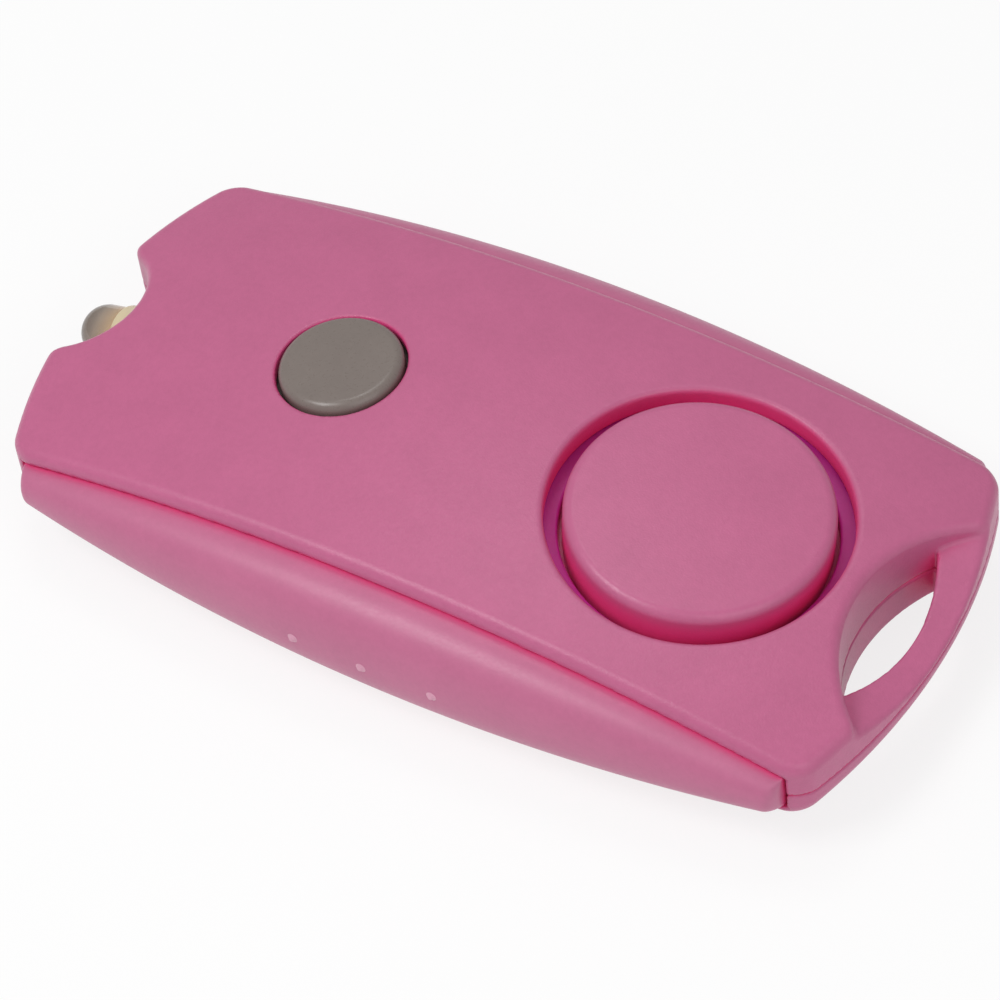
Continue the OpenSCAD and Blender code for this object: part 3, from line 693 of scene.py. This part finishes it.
LOOKS = {
    # The case, side and button plastics carry painted crevice shade.
    "case_plastic": plastic("case_plastic", PINK, 0.38, 0.045, 5.0, 0.05, PAINTED_SHADE_CRIMSON),
    "side_plastic": plastic("side_plastic", PINK_SIDE, 0.38, 0.012, 4.0, 0.04, PAINTED_SHADE_CRIMSON),
    "button_plastic": plastic("button_plastic", PINK, 0.34, 0.03, 5.0, 0.05, PAINTED_SHADE_CRIMSON),
    "pip_plastic": plastic("pip_plastic", PINK_PALE, 0.3, 0.01, 4.0, 0.03),
    "ring_plastic": plastic("ring_plastic", PURPLE, 0.45, 0.02, 4.0),
    "grey_plastic": plastic("grey_plastic", GREY, 0.3, 0.008, 3.0),
    "cream_plastic": plastic("cream_plastic", CREAM, 0.4, 0.01, 3.0),
    "black_plastic": plastic("black_plastic", (0.015, 0.015, 0.017), 0.45, 0.02, 4.0),
    "ceramic": plastic("ceramic", (0.7, 0.68, 0.62), 0.4, 0.01, 6.0),
    "foam_rubber": plastic("foam_rubber", (0.03, 0.03, 0.03), 0.85, 0.08, 3.0),
    "capacitor_sleeve": plastic("capacitor_sleeve", (0.03, 0.05, 0.2), 0.3, 0.01, 3.0),
    "red_insulation": plastic("red_insulation", (0.5, 0.02, 0.02), 0.4, 0.01, 3.0),
    "black_insulation": plastic("black_insulation", (0.02, 0.02, 0.02), 0.4, 0.01, 3.0),
    "white_insulation": plastic("white_insulation", (0.7, 0.7, 0.65), 0.4, 0.01, 3.0),
    "board_laminate": plastic("board_laminate", (0.02, 0.13, 0.06), 0.35, 0.01, 2.0),
    "steel": metal("steel", (0.55, 0.56, 0.58), 0.3),
    "brass_sheet": metal("brass_sheet", (0.6, 0.4, 0.12), 0.32),
    "ferrite": metal("ferrite", (0.05, 0.05, 0.055), 0.6),
    "copper_wire": metal("copper_wire", (0.5, 0.2, 0.08), 0.35),
}


def epoxy():
    """Lamp epoxy: slightly hazy and see-through, darker brown-grey towards the dome's tip and amber towards
    the collar.
    """
    look = Look("lamp_epoxy")
    look.set(IOR=1.5, Transmission_Weight=0.7)
    haze = look.noise(0.8, 2.0)
    depth = look.place("X", LAMP_X - LAMP_R, LAMP_X + COLLAR_FROM)
    tint = look.ramp(depth, (0.15, 0.1, 0.075), (0.44, 0.38, 0.33), 0.05, 0.5)
    tint = look.mix(look.spread(depth, 0.0, 1.0, 0.4, 0.9), tint, (0.74, 0.5, 0.26))
    tint = look.mix(0.35, tint, look.ramp(haze, (0.8, 0.76, 0.7), (1.0, 1.0, 1.0)), "MULTIPLY")
    return look.finish(tint, look.spread(haze, 0.06, 0.14))


LOOKS["lamp_epoxy"] = epoxy()


def paint(ob, name):
    """Gives an object a look in place of its materials."""
    ob.data.materials.clear()
    ob.data.materials.append(LOOKS[name])


# Carried-over CAD nodes take the look of their own material slot
for part in frame["record"]["subparts"]:
    paint(frame["nodes"][part["node"]], part["material_slot"])


def piece(ob, body, slot, *nodes, look=None):
    """Paints a piece, and rides it on a body in place of CAD nodes."""
    paint(ob, look or slot)
    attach(ob, body)
    if nodes:
        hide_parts(*nodes)


# Covers
CELL = 0.27
piece(moulded("cover_top", top_cover_field, (-HALF_L, -HALF_W, SEAM_Z),
              (HALF_L, HALF_W, AXIS_UP_Z + TOP_R), CELL),
      "case", "case_plastic", "top_cover")
piece(moulded("cover_bottom", bottom_cover_field, (-HALF_L, -HALF_W, 0), (HALF_L, HALF_W, SEAM_Z), CELL),
      "case", "case_plastic", "bottom_cover")

# Side buttons
for side, word, body in ((-1, "left", "left_press_body"), (1, "right", "right_press_body")):
    piece(side_button("side_button_" + word + "_skin", side), body, "side_plastic", "side_button_" + word)
    piece(grip_pips("grip_pips_" + word, side), body, "side_plastic", look="pip_plastic")

# Alarm button: a flat cap with a rolled edge, a skirt, a retaining flange and a stem
roll_r, roll_z = ALARM_R - ALARM_ROLL, ALARM_TOP - ALARM_DISH
flange_z = -WELL_DEPTH - ALARM_RING_T - SLIDE_GAP
skirt_r, ceiling_z = ALARM_R - ALARM_SKIRT_T, ALARM_TOP - ALARM_CAP_T
piece(lathe("alarm_button_cap", [(0, ALARM_TOP), (roll_r, roll_z)]
            + arc(roll_r, roll_z - ALARM_ROLL, ALARM_ROLL, 82, 0, 14)
            + [(ALARM_R, flange_z), (ALARM_FLANGE_R, flange_z), (ALARM_FLANGE_R, flange_z - ALARM_FLANGE_T),
               (skirt_r, flange_z - ALARM_FLANGE_T), (skirt_r, ceiling_z),
               (ALARM_STEM_R, ceiling_z), (ALARM_STEM_R, ALARM_STEM_Z), (0, ALARM_STEM_Z)],
            crest_frame(ALARM_X), 192),
      "alarm_press_body", "button_plastic", "alarm_button")

# Sound ring: the floor of the well
ring_in, ring_z = ALARM_R + ALARM_RING_GAP, -WELL_DEPTH - ALARM_RING_T
piece(lathe("well_floor", [(ALARM_RING_R, -WELL_DEPTH)]
            + arc(ring_in + ALARM_RING_ROLL, -WELL_DEPTH - ALARM_RING_ROLL, ALARM_RING_ROLL, 90, 180, 6)
            + [(ring_in, ring_z), (ALARM_RING_R, ring_z)],
            crest_frame(ALARM_X), 192, ring=True),
      "case", "ring_plastic", "sound_ring")

# Torch button: a cushion with a broad roll, a retaining flange and a stem
roll_r, roll_z = TORCH_R - TORCH_ROLL, TORCH_RISE - TORCH_DISH
flange_low = TORCH_FLANGE_Z - TORCH_FLANGE_T
piece(lathe("torch_button_cap", [(0, TORCH_RISE), (roll_r, roll_z)]
            + arc(roll_r, roll_z - TORCH_ROLL, TORCH_ROLL, 84, 0, 14)
            + [(TORCH_R, TORCH_FLANGE_Z), (TORCH_FLANGE_R, TORCH_FLANGE_Z), (TORCH_FLANGE_R, flange_low),
               (TORCH_STEM_R, flange_low), (TORCH_STEM_R, TORCH_STEM_Z), (0, TORCH_STEM_Z)],
            crest_frame(TORCH_X), 128),
      "torch_press_body", "grey_plastic", "torch_button")

# Lamp: dome, body, and the stem inside the collar
stem_end = COLLAR_FROM + LAMP_STEM_L
piece(lathe("lamp_lens", arc(0, 0, LAMP_R, -90, 0, 24)
            + [(LAMP_R, COLLAR_FROM), (LAMP_STEM_R, COLLAR_FROM), (LAMP_STEM_R, stem_end), (0, stem_end)],
            lamp_frame(), 96),
      "case", "lamp_epoxy", "torch_led")
piece(lathe("lamp_collar", [(COLLAR_BORE_R, COLLAR_FROM), (COLLAR_R - COLLAR_ROLL, COLLAR_FROM)]
            + arc(COLLAR_R - COLLAR_ROLL, COLLAR_FROM + COLLAR_ROLL, COLLAR_ROLL, -90, 0, 5)
            + [(COLLAR_R, COLLAR_TO), (COLLAR_BORE_R, COLLAR_TO)],
            lamp_frame(), 96, ring=True),
      "case", "cream_plastic", "led_collar")


# Floor, light and camera
FLOOR_SIZE = 1800.0
FLOOR_Z = -0.05
FLOOR_GLOW = 0.8

# Camera fitted to the photograph: degrees, millimetres, and focal length over sensor width
CAMERA_AZIMUTH = 37.033
CAMERA_ELEVATION = 49.770
CAMERA_ROLL = -8.233
CAMERA_TARGET = (-1.396, 1.773, MID_Z + HALF_H - 11.930)
CAMERA_DISTANCE = 368.58
CAMERA_ZOOM = 4.3194


def seen(tree):
    """1 for a ray from the camera, or one that a shiny or clear surface sends on."""
    path = tree.nodes.new("ShaderNodeLightPath")
    total = path.outputs["Is Camera Ray"]
    for key in ("Is Glossy Ray", "Is Transmission Ray"):
        add = tree.nodes.new("ShaderNodeMath")
        add.operation = "MAXIMUM"
        tree.links.new(total, add.inputs[0])
        tree.links.new(path.outputs[key], add.inputs[1])
        total = add.outputs[0]
    return total


def floor():
    """Pale floor. What sees it gets most of its white from a glow, so the shadow on it stays light."""
    look = Look("floor")
    grain = look.noise(0.02, 3.0)
    look.finish(look.ramp(grain, (0.93, 0.93, 0.93), (0.95, 0.95, 0.95)), look.spread(grain, 0.85, 0.9))
    tree = look.tree
    glow = tree.nodes.new("ShaderNodeEmission")
    glow.inputs["Color"].default_value = (1, 1, 1, 1)
    share = tree.nodes.new("ShaderNodeMath")
    share.operation = "MULTIPLY"
    share.inputs[1].default_value = FLOOR_GLOW
    tree.links.new(seen(tree), share.inputs[0])
    mix = tree.nodes.new("ShaderNodeMixShader")
    tree.links.new(share.outputs[0], mix.inputs["Fac"])
    tree.links.new(look.shader.outputs[0], mix.inputs[1])
    tree.links.new(glow.outputs[0], mix.inputs[2])
    tree.links.new(mix.outputs[0], tree.nodes["Material Output"].inputs["Surface"])
    s = FLOOR_SIZE / 2
    corners = [(-s, -s, FLOOR_Z), (s, -s, FLOOR_Z), (s, s, FLOOR_Z), (-s, s, FLOOR_Z)]
    ob = add_mesh("floor", corners, [(0, 1, 2, 3)])
    ob.data.materials.append(look.mat)


def softbox(name, place, target, size, power):
    """Square lamp that faces a point, millimetres and watts."""
    light = bpy.data.lights.new(name, "AREA")
    light.shape = "SQUARE"
    light.size = size * MM
    light.energy = power
    ob = bpy.data.objects.new(name, light)
    ob.location = Vector(place) * MM
    ob.rotation_euler = (Vector(target) - Vector(place)).to_track_quat("-Z", "Y").to_euler()
    bpy.context.scene.collection.objects.link(ob)


def world(strength):
    """Even white light from all round."""
    w = bpy.data.worlds.new("studio")
    w.use_nodes = True
    back = w.node_tree.nodes["Background"]
    back.inputs["Color"].default_value = (1, 1, 1, 1)
    back.inputs["Strength"].default_value = strength
    bpy.context.scene.world = w


def camera():
    """Camera at the photograph's viewing angle, for a square picture."""
    az, el, roll = (math.radians(a) for a in (CAMERA_AZIMUTH, CAMERA_ELEVATION, CAMERA_ROLL))
    back = Vector((math.sin(az) * math.cos(el), -math.cos(az) * math.cos(el), math.sin(el)))
    right = (-back).cross(Vector((0, 0, 1))).normalized()
    up = right.cross(-back)
    r = math.cos(roll) * right + math.sin(roll) * up
    u = -math.sin(roll) * right + math.cos(roll) * up
    place = Vector(CAMERA_TARGET) + back * CAMERA_DISTANCE
    cam = bpy.data.cameras.new("camera")
    cam.sensor_width = 36.0
    cam.lens = CAMERA_ZOOM * cam.sensor_width
    cam.clip_start, cam.clip_end = 0.01, 10.0
    ob = bpy.data.objects.new("camera", cam)
    m = Matrix((r, u, back)).transposed().to_4x4()
    m.translation = place * MM
    ob.matrix_world = m
    bpy.context.scene.collection.objects.link(ob)
    bpy.context.scene.camera = ob


floor()
world(0.44)
softbox("key", (-120, -160, 330), (0, 0, 0), 150, 0.58)
softbox("fill", (260, -120, 240), (0, 0, 0), 260, 0.26)
softbox("top", (-80, 120, 350), (20, 0, 0), 120, 0.16)
camera()
bpy.context.scene.view_settings.view_transform = "Standard"
